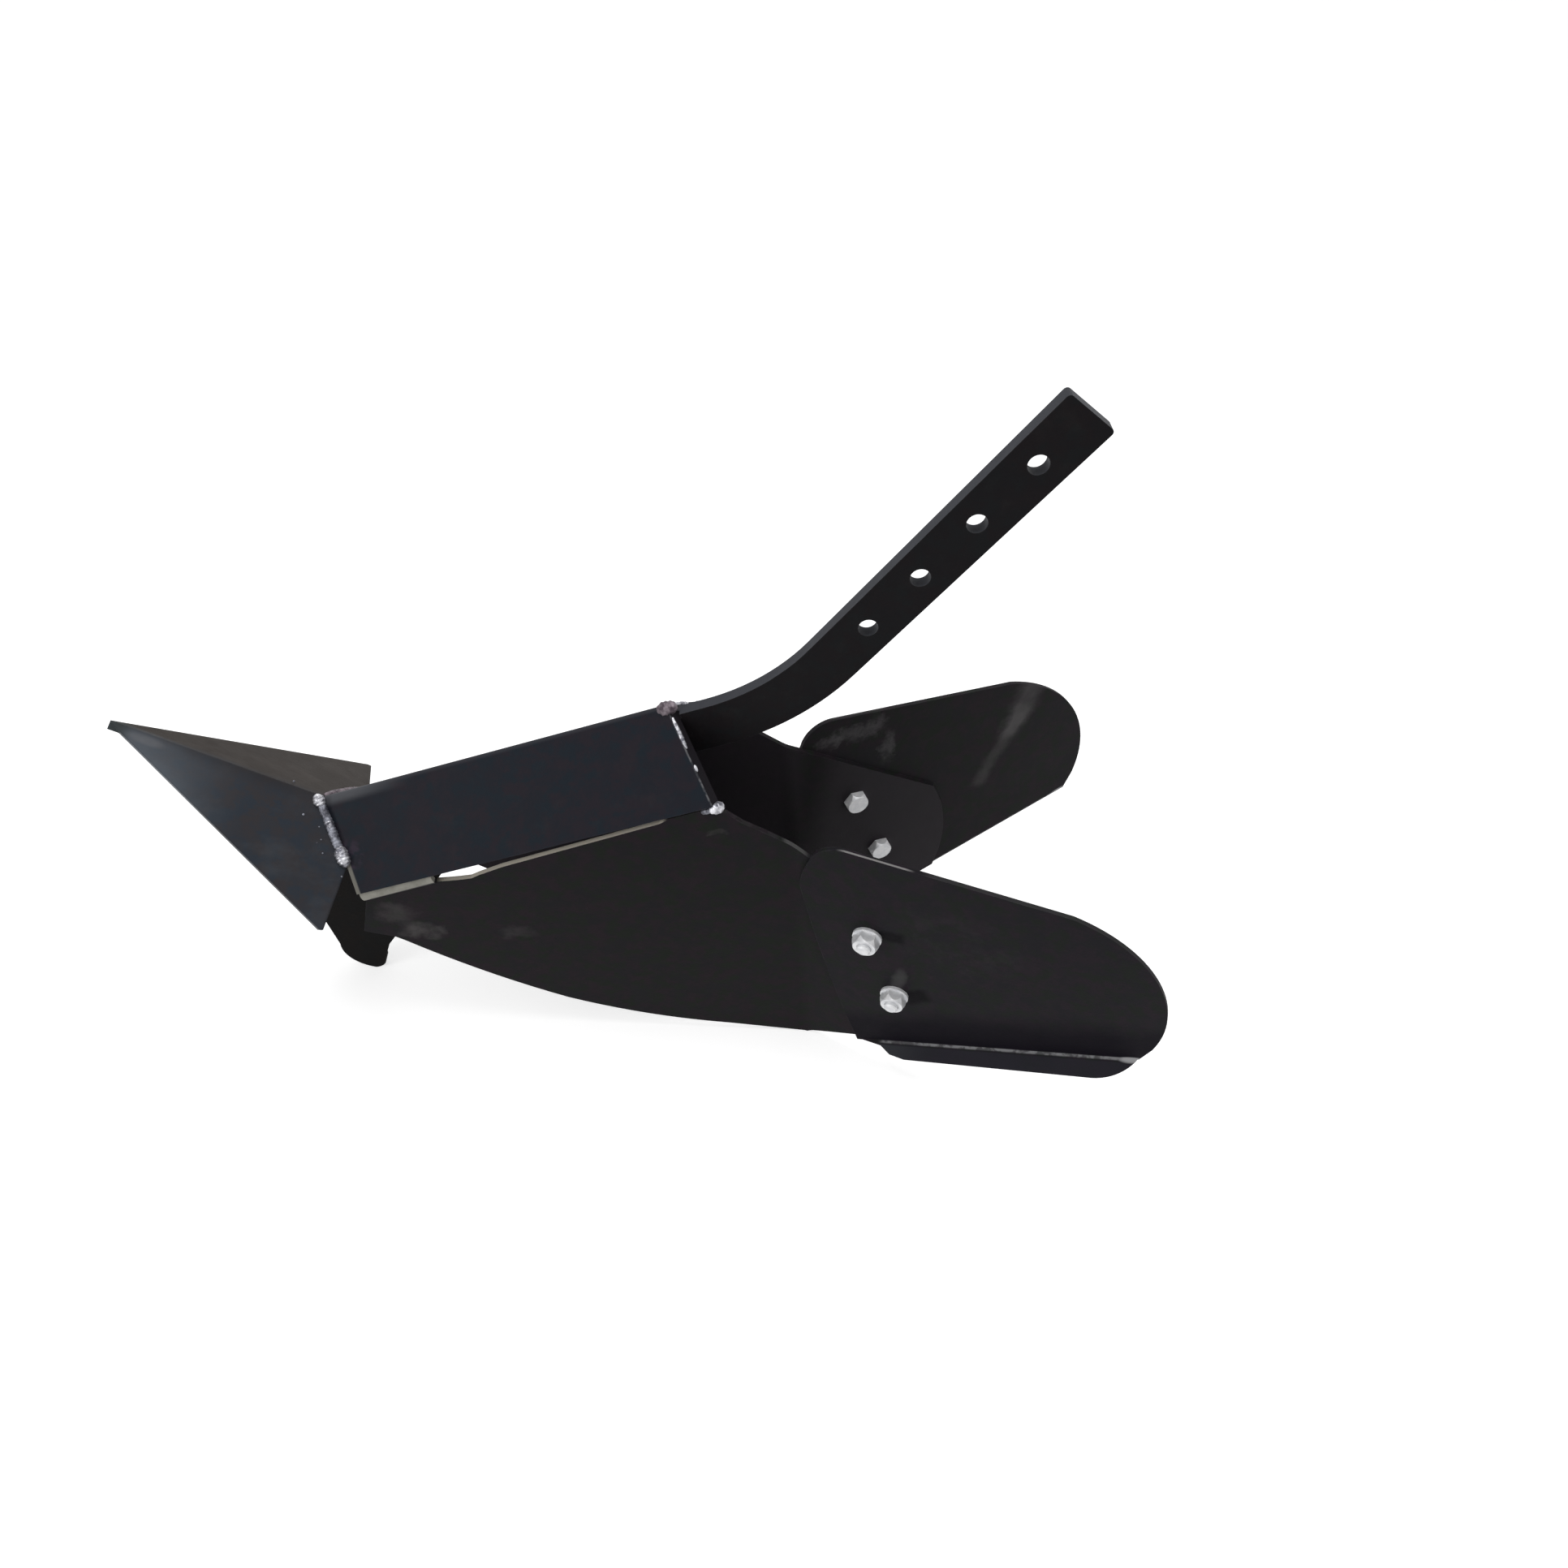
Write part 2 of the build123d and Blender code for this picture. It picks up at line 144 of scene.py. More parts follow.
def lamp(name, place, size, power):
    """A round soft lamp that shines on the middle of the ridger."""
    middle = Vector((0, 0, 0.2))
    data = bpy.data.lights.new(name, "AREA")
    data.shape = "DISK"
    data.size = size
    data.energy = power
    light = bpy.data.objects.new(name, data)
    light.location = place
    light.rotation_euler = (middle - Vector(place)).to_track_quat("-Z", "Y").to_euler()
    scene.collection.objects.link(light)


look()
lamp("overhead", place=(-0.3, 0.2, 2.4), size=1.4, power=22)
lamp("left_front", place=(-2.2, -1.2, 1.0), size=1.0, power=13)
scene.view_settings.view_transform = "Standard"


def feed(tree, socket, value):
    """Link a wire, a node's first output or a socket to an input, or set a plain value there."""
    if isinstance(value, Wire):
        value = value.socket
    if isinstance(value, bpy.types.Node):
        value = value.outputs[0]
    if isinstance(value, bpy.types.NodeSocket):
        tree.links.new(value, socket)
    else:
        socket.default_value = value


class Wire:
    """A socket that can be added, multiplied and so on like a number."""

    def __init__(self, tree, socket):
        self.tree = tree
        self.socket = socket

    def _math(self, kind, *values):
        node = self.tree.nodes.new("ShaderNodeMath")
        node.operation = kind
        for place, value in zip(node.inputs, values):
            feed(self.tree, place, value)
        return Wire(self.tree, node.outputs[0])

    def __add__(self, other):
        return self._math("ADD", self, other)

    def __radd__(self, other):
        return self._math("ADD", other, self)

    def __sub__(self, other):
        return self._math("SUBTRACT", self, other)

    def __rsub__(self, other):
        return self._math("SUBTRACT", other, self)

    def __mul__(self, other):
        return self._math("MULTIPLY", self, other)

    def __rmul__(self, other):
        return self._math("MULTIPLY", other, self)

    def __truediv__(self, other):
        return self._math("DIVIDE", self, other)

    def __pow__(self, other):
        return self._math("POWER", self, other)

    def least(self, other):
        return self._math("MINIMUM", self, other)

    def most(self, other):
        return self._math("MAXIMUM", self, other)

    def clamped(self):
        return self.most(0.0).least(1.0)

    def size(self):
        return self._math("ABSOLUTE", self)

    def sine(self):
        return self._math("SINE", self)

    def steps(self, low, high):
        """0 below low, 1 above high, smooth between."""
        node = self.tree.nodes.new("ShaderNodeMapRange")
        node.interpolation_type = "SMOOTHSTEP"
        feed(self.tree, node.inputs["Value"], self)
        feed(self.tree, node.inputs["From Min"], low)
        feed(self.tree, node.inputs["From Max"], high)
        return Wire(self.tree, node.outputs["Result"])

    def between(self, low, high, soft):
        """1 from low to high, fading to 0 over soft on either side."""
        return self.steps(low - soft, low) * (1 - self.steps(high, high + soft))


class Graph:
    """A node tree with one way to add a node and a few vector shorthands."""

    def __init__(self, tree):
        self.tree = tree

    def wire(self, socket):
        return Wire(self.tree, socket)

    def node(self, kind, settings=(), **sockets):
        """Add a node; _0, _1 and so on name an input by its number, the rest by its label."""
        made = self.tree.nodes.new(kind)
        for key, value in dict(settings).items():
            setattr(made, key, value)
        for key, value in sockets.items():
            label = int(key[1:]) if key[0] == "_" else key.replace("_", " ")
            feed(self.tree, made.inputs[label], value)
        return made

    def vector(self, operation, *values):
        sockets = {f"_{i}": value for i, value in enumerate(values)}
        if operation == "SCALE":
            sockets = {"_0": values[0], "Scale": values[1]}
        made = self.node("ShaderNodeVectorMath", {"operation": operation}, **sockets)
        return made.outputs["Value" if operation == "DOT_PRODUCT" else "Vector"]

    def dot(self, one, two):
        return self.wire(self.vector("DOT_PRODUCT", one, two))

    def noise(self, scale, detail=3.0, rough=0.5, place=None, stretch=None):
        """Noise from 0 to 1, scale in lumps per metre."""
        place = place or self.place
        if stretch:
            place = self.vector("MULTIPLY", place, stretch)
        made = self.node("ShaderNodeTexNoise", Vector=place, Scale=scale, Detail=detail, Roughness=rough)
        return self.wire(made.outputs["Fac"])


# The white surroundings veil near-black paint, so its mirror share is kept far under that of metal
paint_gloss = 0.06
foot_gloss = 0.04
plate_gloss = 0.03
slit_gloss = 0.2
metal_gloss = 0.5


class Finish(Graph):
    """One material: its tree, and shorthands for the masks that the finishes share."""

    def __init__(self, name, gloss):
        self.material = bpy.data.materials.new(name)
        self.material.use_nodes = True
        super().__init__(self.material.node_tree)
        self.surface = self.tree.nodes["Principled BSDF"]
        self.surface.inputs["Specular IOR Level"].default_value = gloss
        self.place = self.node("ShaderNodeTexCoord").outputs["Object"]
        self.x, self.y, self.z = self.cut(self.place)
        self.normal = self.node("ShaderNodeNewGeometry").outputs["Normal"]

    def cut(self, vector):
        made = self.node("ShaderNodeSeparateXYZ", Vector=vector)
        return [self.wire(made.outputs[i]) for i in range(3)]

    def faces_left(self):
        """1 on the faces that look to the left, whichever side they are on."""
        return (self.cut(self.normal)[1] * -1).steps(0.4, 0.7)

    def faces_up(self, low, high):
        return self.cut(self.normal)[2].steps(low, high)

    def from_point(self, point, direction):
        """Distance from a point along a direction, the right side folded over to the left."""
        folded = self.node("ShaderNodeCombineXYZ", X=self.x, Y=self.y.size() * -1, Z=self.z)
        offset = self.vector("SUBTRACT", folded.outputs[0], tuple(point))
        return self.dot(offset, tuple(direction))

    def mix(self, mask, under, over):
        made = self.node("ShaderNodeMix", {"data_type": "RGBA"}, _0=mask, _6=under, _7=over)
        return made.outputs[2]

    def ragged(self, distance, scale, reach, shift=0.0):
        """A distance pushed about by noise, so that marks placed by it get ragged outlines."""
        place = self.vector("ADD", self.place, (shift, shift, shift))
        return distance + (self.noise(scale, 5, 0.65, place) - 0.5) * reach * mm

    def spot(self, across, up, centre, reach, soft=0.7):
        """1 at the centre of an oval, given by two distances, fading to 0 at its reach."""
        one = (across - centre[0] * mm) / (reach[0] * mm)
        two = (up - centre[1] * mm) / (reach[1] * mm)
        return 1 - (one * one + two * two).steps(1 - soft, 1.0)

    def spots(self, across, up, table):
        """The sum of several soft ovals, each given by its centre, reach and strength."""
        masks = [self.spot(across, up, centre, reach, 0.95) * full for centre, reach, full in table]
        return sum(masks[1:], masks[0])

    def streak(self, across, up, start, stop, width, soft):
        """1 along a line from start to stop, fading to 0 over soft beyond its half width."""
        run = Vector((stop[0] - start[0], stop[1] - start[1]))
        length = run.length
        run.normalize()
        east = across - start[0] * mm
        north = up - start[1] * mm
        forward = east * run.x + north * run.y
        side = (east * -run.y + north * run.x).size()
        beside = side.steps(width * mm, (width + soft) * mm)
        return (1 - beside) * forward.between(0, length * mm, soft * mm)

    def sharp_edges(self, radius):
        """1 on sharp edges, from the difference between the rounded and the true normal."""
        soft = self.node("ShaderNodeBevel", {"samples": 6}, Radius=radius)
        return 1 - self.dot(soft, self.normal)

    def coat(self, tone, rough, metal, height, bump, depth, rounding=0.0):
        """Give the surface its tone, roughness and metal, and relief of a depth in millimetres."""
        inputs = self.surface.inputs
        feed(self.tree, inputs["Base Color"], tone)
        feed(self.tree, inputs["Roughness"], rough)
        feed(self.tree, inputs["Metallic"], metal)
        sockets = {"Height": height, "Strength": bump, "Distance": depth * mm}
        if rounding:
            sockets["Normal"] = self.node("ShaderNodeBevel", {"samples": 8}, Radius=rounding * mm)
        feed(self.tree, inputs["Normal"], self.node("ShaderNodeBump", **sockets))
        return self.material


def tint(red, green, blue):
    return (red, green, blue, 1.0)


# Creamy bare steel, lightened further as a painted highlight
creamy_bare_and_highlight = tint(0.84, 0.78, 0.66)
grey_bare = tint(0.26, 0.26, 0.27)
nick_bare = tint(0.42, 0.42, 0.43)
worn_steel = tint(0.13, 0.13, 0.14)
dust_grey = tint(0.06, 0.057, 0.055)
slag = tint(0.035, 0.026, 0.04)
# Near black for painted shadows
nut_shadow_black = tint(0.003, 0.0026, 0.004)

# Three tones of each black: its own, then the warmer and the cooler one of its mottling
shank_tones = (
    tint(0.0082, 0.0075, 0.0088), tint(0.0095, 0.0076, 0.0088), tint(0.0084, 0.0088, 0.010))
# The foot plate's blacks are darkened as painted shade
foot_tones = (
    tint(0.0042, 0.0037, 0.0036), tint(0.0052, 0.0040, 0.0036), tint(0.0038, 0.0038, 0.0040))
breast_tones = (
    tint(0.0142, 0.0155, 0.0215), tint(0.0185, 0.0158, 0.0215), tint(0.0120, 0.0168, 0.0235))
share_tones = (
    tint(0.037, 0.0395, 0.0475), tint(0.042, 0.039, 0.043), tint(0.032, 0.0395, 0.052))
moldboard_tones = (
    tint(0.0152, 0.0148, 0.0170), tint(0.0200, 0.0150, 0.0190), tint(0.0140, 0.0170, 0.0138))
left_wing_tones = (
    tint(0.0152, 0.0146, 0.0178), tint(0.0200, 0.0152, 0.0204), tint(0.0142, 0.0166, 0.0146))
# The right wing's blacks are lighter than the left wing's, as painted light on its inner face
right_wing_tones = (
    tint(0.0228, 0.0222, 0.0250), tint(0.0282, 0.0226, 0.0272), tint(0.0212, 0.0246, 0.0212))


def black_paint(finish, tones, marks, rough, rounding=0.0, wear=0.35):
    """Black paint over steel: mottled, dusty in patches, worn at its edges, with its own marks."""
    deep, warm, cool = tones
    cloud = finish.noise(62, 4, 0.65)
    drift = finish.noise(84, 4, 0.6, stretch=(1.0, 1.3, 1.1))
    patch = finish.noise(60, 5, 0.65)
    peel = finish.noise(420, 2)
    grit = finish.noise(1500, 2, 0.7)
    tone = finish.mix(cloud.steps(0.4, 0.6), deep, warm)
    tone = finish.mix(drift.steps(0.45, 0.64), tone, cool)
    dust = patch.steps(0.5, 0.8) * 0.10 + grit.steps(0.62, 0.78) * 0.05
    tone = finish.mix(dust, tone, dust_grey)
    for mask, over in marks:
        tone = finish.mix(mask, tone, over)
    edge = finish.sharp_edges(0.9 * mm).steps(0.03, 0.3) * patch.steps(0.38, 0.62) * wear
    tone = finish.mix(edge, tone, worn_steel)
    shine = rough + patch * 0.16 + dust * 0.4 - edge * 0.3
    height = peel * 0.5 + grit * 0.25 + patch * 0.6
    return finish.coat(tone, shine, 0.0, height, bump=0.22, depth=0.6, rounding=rounding)


# Shank: a painted highlight on its narrow faces, and one nick shows by the lowest hole
def shank_black():
    finish = Finish("shank_black", paint_gloss)
    narrow = 1 - finish.cut(finish.normal)[1].size().steps(0.4, 0.75)
    highlight_streaks = finish.noise(70, 4, 0.7, stretch=(1.0, 1.0, 0.18))
    nick = finish.streak(finish.x, finish.z, (91.0, 420.0), (95.0, 424.0), 1.4, 1.5)
    marks = (
        # painted highlight on the narrow faces, broken into streaks
        (narrow * (0.5 + highlight_streaks * 0.5), tint(0.058, 0.061, 0.071)),
        (nick, nick_bare),
    )
    return black_paint(finish, shank_tones, marks, rough=0.4)


# Foot plate: the darkest piece, its black darkened as painted shade under the breast and share, with a
# faint brown cast
def foot_black():
    return black_paint(Finish("foot_black", foot_gloss), foot_tones, (), rough=0.5)


# Breast: a bare edge with a painted highlight along the front cut, bare in dashes along the rear cut,
# painted highlights along the crest, painted shade on the rear cut faces, slag by the lower weld end
def breast_black():
    finish = Finish("breast_black", paint_gloss)
    reach = finish.y.size()
    run = finish.from_point(ridge_front, along)
    front = finish.from_point(share_tip, share_normal)
    rear = finish.from_point(rear_top, rear_normal)
    dash = finish.noise(170, 3, 0.6)
    front_line = (1 - front.steps(1.5 * mm, 2.5 * mm)) * reach.steps(31 * mm, 34 * mm)
    rear_cut = finish.dot(finish.normal, (0.53, 0, 0.848)).steps(0.7, 0.85)
    rear_strip = rear.steps(-1.3 * mm, -0.5 * mm) * (1 - rear_cut)
    rear_line = rear_strip * (0.15 + dash.steps(0.44, 0.6) * 0.85)
    front_crest = (1 - reach.steps(2.2 * mm, 6.5 * mm)) * (1 - run.steps(20 * mm, 75 * mm))
    crest = 1 - reach.steps(0.9 * mm, 2.6 * mm)
    burn = finish.spot(run, reach, (15.0, 30.5), (10.0, 8.5))
    marks = (
        # painted highlight along the crest, stronger towards its front
        (crest * 0.6, tint(0.04, 0.041, 0.048)),
        (front_crest * 0.8, tint(0.095, 0.098, 0.108)),
        (burn * dash.steps(0.4, 0.6) * 0.8, slag),
        # bare edge with a painted highlight along the front cut
        (front_line * 0.85, tint(0.2, 0.195, 0.17)),
        # painted shade on the rear cut faces
        (rear_cut * 0.9, tint(0.013, 0.011, 0.0135)),
        (rear_line * 0.45, grey_bare),
    )
    wear = (1 - rear.steps(-4 * mm, -1.5 * mm)) * 0.35
    return black_paint(finish, breast_tones, marks, rough=0.4, wear=wear)


# Share: bluish on the left and brownish on the right, with a painted bluish sheen and a rubbed bright
# spot towards the point, and painted shade along its ridge
def share_black():
    finish = Finish("share_black", paint_gloss)
    run = finish.from_point(share_tip, share_run)
    reach = finish.y.size()
    right = finish.y.steps(-4 * mm, 5 * mm)
    left = 1 - right
    streaks = finish.noise(40, 5, 0.7, stretch=(0.45, 1.0, 1.0))
    cast = finish.noise(28, 4, 0.65, stretch=(0.6, 1.0, 1.0))
    near_point = 1 - run.steps(12 * mm, 95 * mm)
    outer = (reach - run * 0.3).steps(-6 * mm, 22 * mm)
    # painted sheen: the left face lighter and bluish towards the point
    shine = near_point * (0.55 + outer * 0.45) * (0.55 + streaks * 0.7) * left
    rubbed = finish.spot(finish.x, reach, (-329.0, 3.6), (12.0, 3.6), 0.95)
    nose = 1 - run.steps(6 * mm, 15 * mm)
    # painted shade along the ridge, rearwards of the point
    ridge_shade = (1 - reach.steps(1 * mm, 9 * mm)) * run.steps(25 * mm, 60 * mm)
    dark_brown, light_brown = tint(0.036, 0.0295, 0.0255), tint(0.052, 0.0435, 0.0385)
    marks = (
        (right, finish.mix(streaks.steps(0.35, 0.7), dark_brown, light_brown)),
        (cast.steps(0.42, 0.66) * left * 0.75, tint(0.056, 0.061, 0.071)),
        (shine, tint(0.145, 0.165, 0.192)),
        (nose * 0.7, tint(0.036, 0.044, 0.042)),
        (rubbed * streaks * left * 0.8, tint(0.17, 0.17, 0.18)),
        # painted shade along the share's ridge
        (ridge_shade * 0.4, tint(0.028, 0.027, 0.03)),
    )
    return black_paint(finish, share_tones, marks, rough=0.38, rounding=2.4)


# Scuffs on the left moldboard: centre along and up, reach along and up, strength
moldboard_scuffs = (
    ((-180.0, 135.0), (18.0, 15.0), 0.6),
    ((-165.0, 116.0), (20.0, 12.0), 1.0),
    ((-99.0, 119.0), (17.0, 9.0), 0.4),
    ((33.0, 241.0), (8.0, 4.0), 0.5),
)


# Moldboards: creamy bare top edge under the breast, lightened as painted light; painted highlights on
# the upward faces at the top and the rear corner; painted light either side of the right one's bend;
# scuffs near the front and the rear corner
def moldboard_black():
    finish = Finish("moldboard_black", plate_gloss)
    run = finish.from_point(ridge_front, along)
    break_up = finish.noise(90, 4, 0.6)
    left = 1 - finish.y.steps(-1 * mm, 1 * mm)
    faces_left = finish.faces_left()
    left_outside = left * faces_left
    right_inside = (1 - left) * faces_left
    top_edge = finish.dot(finish.normal, tuple(above)).steps(0.55, 0.8)
    bare = top_edge * run.between(70 * mm, 229 * mm, 6 * mm)
    # painted highlights: dim on the rear top edge, on the upward faces at the rear corner and, broken
    # up, along the top
    dull = top_edge * run.between(229 * mm, 268 * mm, 6 * mm)
    upward = finish.faces_up(0.45, 0.7) * left
    corner = upward * finish.x.between(80 * mm, 90 * mm, 6 * mm)
    rim = upward * finish.x.between(28 * mm, 90 * mm, 8 * mm) * break_up.steps(0.4, 0.6)
    # painted light on the right moldboard's inner face either side of its bend, darker at the bend
    painted_light_before_wing = right_inside * (1 - finish.x.steps(80 * mm, 112 * mm))
    painted_light_behind_bend = right_inside * finish.x.steps(104 * mm, 136 * mm)
    fore = finish.ragged(finish.x, 50, 26)
    tall = finish.ragged(finish.z, 50, 22, 0.3)
    scuffs = finish.spots(fore, tall, moldboard_scuffs) * left_outside
    marks = (
        # painted highlights on the top edge and the upward faces
        (dull * 0.8, tint(0.045, 0.042, 0.04)),
        # bare top edge, lightened as painted light where it lies in the breast's shade
        (bare * (0.8 + break_up * 0.2), creamy_bare_and_highlight),
        (corner * 0.6, tint(0.12, 0.12, 0.12)),
        (rim * 0.12, tint(0.09, 0.085, 0.09)),
        # painted light either side of the right moldboard's bend
        (painted_light_before_wing * 0.6, tint(0.05, 0.042, 0.051)),
        (painted_light_behind_bend * 0.75, tint(0.052, 0.047, 0.053)),
        (scuffs * (0.25 + break_up.steps(0.3, 0.7) * 0.6), tint(0.085, 0.078, 0.08)),
    )
    return black_paint(finish, moldboard_tones, marks, rough=0.45)


def wing_sides(finish):
    """Distances on the wing plane: rearwards, up, and square up from the fold of the lip."""
    back = finish.from_point(wing_origin, wing_back)
    up = finish.from_point(wing_origin, wing_up)
    from_fold = (back - fold_front.x) * -fold_run.y + (up - fold_front.y) * fold_run.x
    return back, up, from_fold


def wing_marks(finish, back, from_fold, outside=1.0):
    """Marks of both wings; outside is how much those of the outer face show."""
    dash = finish.noise(140, 3, 0.6)
    fade = finish.noise(26, 3)
    drop = from_fold + fade * 16 * mm
    # painted shade on the wing face above the fold of the lip
    painted_fold_shade = from_fold.steps(0.5 * mm, 2 * mm) * (1 - drop.steps(30 * mm, 58 * mm))
    outer_half = finish.from_point(wing_origin, wing_out).steps(-0.2 * mm, 0.3 * mm)
    lip = 1 - from_fold.steps(-2.5 * mm, -0.8 * mm)
    painted_light_lip_front = lip * (1 - back.steps(8 * mm, 50 * mm))
    on_fold = 1 - from_fold.size().steps(0.3 * mm, 1.3 * mm)
    fold_line = on_fold * back.between(12 * mm, 172 * mm, 8 * mm)
    fold_end = finish.spot(back, from_fold, (176.0, 0.0), (9.0, 2.4), 0.9)
    # bare top edge with a painted highlight on the upward faces, faint towards the rear
    top = finish.faces_up(0.6, 0.85) * from_fold.steps(60 * mm, 90 * mm) * outside
    bare_and_highlit_top = top * outer_half * back.between(-58 * mm, -20 * mm, 8 * mm)
    return [
        # painted shade above the fold
        (painted_fold_shade * outside * 0.92, tint(0.0045, 0.0034, 0.0068)),
        # painted light: the lip lighter and bluish, most at its front
        (lip * (0.5 + fade * 0.5), tint(0.027, 0.026, 0.034)),
        (painted_light_lip_front * 0.6, tint(0.06, 0.064, 0.07)),
        # worn bare line with a painted highlight along the fold, in dashes, and a painted highlight at
        # its rear end
        (fold_line * (0.35 + dash.steps(0.42, 0.58) * 0.65), tint(0.24, 0.24, 0.25)),
        (fold_end, tint(0.4, 0.4, 0.41)),
        # bare top edge with a painted highlight, then a faint painted highlight on the top faces
        # rearwards
        (bare_and_highlit_top * 0.9, tint(0.28, 0.27, 0.27)),
        (top * back.steps(-10 * mm, 0) * 0.3, tint(0.08, 0.08, 0.08)),
    ]


# Left wing, outer face: painted shadows behind the nuts, a painted reflection of the lower nut running
# down to it, faint rubbing
def left_wing_black():
    finish = Finish("left_wing_black", plate_gloss)
    back, up, from_fold = wing_sides(finish)
    marks = wing_marks(finish, back, from_fold)
    patches = finish.noise(60, 4, 0.65).steps(0.4, 0.65)
    outer = finish.faces_left()
    aside = finish.ragged(back, 60, 9)
    aloft = finish.ragged(up, 60, 9, 0.3)
    # painted reflection of the lower nut, above it
    nut_reflection = finish.spot(aside, aloft, (3.0, 121.0), (7.0, 19.0), 1.0)
    # painted shadows of the nuts
    upper_nut_shadow = finish.streak(aside, aloft, (-20.0, 169.0), (-8.0, 172.0), 3.0, 6.5)
    lower_nut_shadow = finish.streak(aside, aloft, (12.0, 101.0), (24.0, 112.0), 3.5, 7.5)
    rubbing = finish.spot(aside, aloft, (30.0, 185.0), (60.0, 40.0)) * patches
    marks += [
        (nut_reflection * outer * 0.3, tint(0.14, 0.14, 0.14)),
        (upper_nut_shadow * outer * 0.95, nut_shadow_black),
        (lower_nut_shadow * outer * 0.95, nut_shadow_black),
        (rubbing * outer * 0.15, tint(0.05, 0.05, 0.052)),
    ]
    return black_paint(finish, left_wing_tones, marks, rough=0.42)


# Chalky smudges inside the right wing: centre rearwards and up, reach rearwards and up, strength
wing_smudges = (
    ((-57.0, 225.0), (12.0, 11.0), 1.0),
    ((-40.0, 231.0), (16.0, 11.0), 0.8),
    ((-20.0, 236.0), (12.0, 12.0), 0.8),
    ((-8.0, 212.0), (9.0, 22.0), 0.8),
)


# Right wing, inner face: whitish smudges at the front corner and one broad scuff at the rear
def right_wing_black():
    finish = Finish("right_wing_black", plate_gloss)
    back, up, from_fold = wing_sides(finish)
    marks = wing_marks(finish, back, from_fold, outside=0.15)
    inner = finish.faces_left()
    chalk = finish.noise(75, 5, 0.7).steps(0.36, 0.62)
    haze = finish.noise(30, 3).steps(0.3, 0.7)
    aside = finish.ragged(back, 48, 34)
    aloft = finish.ragged(up, 48, 34, 0.3)
    smudges = finish.spots(aside, aloft, wing_smudges).clamped()
    wander = finish.ragged(back, 24, 26, 0.6)
    upper_scuff = finish.streak(wander, up, (115.0, 262.0), (103.0, 205.0), 3.0, 13.0)
    lower_scuff = finish.streak(wander, up, (108.0, 225.0), (88.0, 152.0), 1.0, 10.0)
    scuff = (upper_scuff * 0.7 + lower_scuff * 0.5).clamped()
    marks += [
        (smudges * (0.25 + chalk * 0.65) * inner, tint(0.115, 0.11, 0.115)),
        (scuff * (0.5 + haze * 0.5) * inner, tint(0.14, 0.134, 0.137)),
    ]
    # blacks lighter than the left wing's, as painted light
    return black_paint(finish, right_wing_tones, marks, rough=0.45)


def weld_bead(name, bright, dark, rough, metal):
    """Weld metal: bright on its lumps, darker with slag in the hollows."""
    finish = Finish(name, metal_gloss)
    lump = finish.noise(210, 3, 0.6)
    grain = finish.noise(1100, 2)
    tone = finish.mix(lump.steps(0.32, 0.66), dark, bright)
    return finish.coat(tone, rough + lump * 0.22, metal, lump + grain * 0.2, bump=0.35, depth=0.8)


# The front weld of each moldboard is bare and smooth against the breast, with painted shade, near black,
# below
def slit_weld():
    finish = Finish("creamy_weld", slit_gloss)
    rise = finish.from_point(ridge_front, above)
    cloud = finish.noise(70, 4, 0.6)
    run = finish.from_point(ridge_front, along)
    wavy_rise = rise - (run - 11.7 * mm) * 0.026 + cloud * 0.8 * mm
    bare = wavy_rise.steps(-57.1 * mm, -56.2 * mm)
    tone = finish.mix(cloud.steps(0.35, 0.65), tint(0.23, 0.225, 0.195), tint(0.34, 0.33, 0.29))
    # painted shade, near black, on the lower part of the weld
    tone = finish.mix(bare, tint(0.016, 0.015, 0.016), tone)
    return finish.coat(tone, 0.5, 0.0, cloud, bump=0.2, depth=0.5)


def zinc_plate():
    """Bright zinc on bolts, nuts and washers, cloudy, with paler edges."""
    finish = Finish("zinc_plate", metal_gloss)
    cloud = finish.noise(240, 3)
    grain = finish.noise(1600, 2)
    pale_edge = finish.sharp_edges(0.5 * mm).steps(0.05, 0.5)
    tone = finish.mix(cloud.steps(0.35, 0.7), tint(0.78, 0.79, 0.81), tint(0.92, 0.92, 0.93))
    tone = finish.mix(pale_edge * 0.3, tone, tint(0.9, 0.9, 0.9))
    rough = 0.34 + grain * 0.16 + cloud * 0.1
    return finish.coat(tone, rough, 0.3, grain * 0.4 + cloud, bump=0.25, depth=0.4)


bright_weld = weld_bead("bright_weld", tint(0.72, 0.72, 0.76), tint(0.12, 0.12, 0.15), 0.24, 0.6)
dull_weld = weld_bead("dull_weld", tint(0.30, 0.31, 0.36), tint(0.05, 0.05, 0.065), 0.35, 0.4)
brown_weld = weld_bead("brown_weld", tint(0.23, 0.19, 0.215), tint(0.05, 0.034, 0.046), 0.4, 0.3)

# Finishes by material slot, and those that single nodes have instead
slot_finishes = {
    "shank_paint": shank_black(),
    "breast_paint": breast_black(),
    "share_paint": share_black(),
    "moldboard_paint": moldboard_black(),
    "weld_metal": slit_weld(),
    "zinc_steel": zinc_plate(),
}
node_finishes = {
    "foot_plate": foot_black(),
    "left_wing": left_wing_black(),
    "right_wing": right_wing_black(),
}
for entry in frame["record"]["subparts"]:
    slots = frame["nodes"][entry["node"]].data.materials
    slots.clear()
    slots.append(node_finishes.get(entry["node"]) or slot_finishes[entry["material_slot"]])


def set_inputs(modifier, tree, values):
    """Give a Geometry Nodes modifier its inputs, by the identifiers of the tree's sockets."""
    for item in tree.interface.items_tree:
        if item.item_type == "SOCKET" and item.in_out == "INPUT" and item.name in values:
            modifier[item.identifier] = values[item.name]


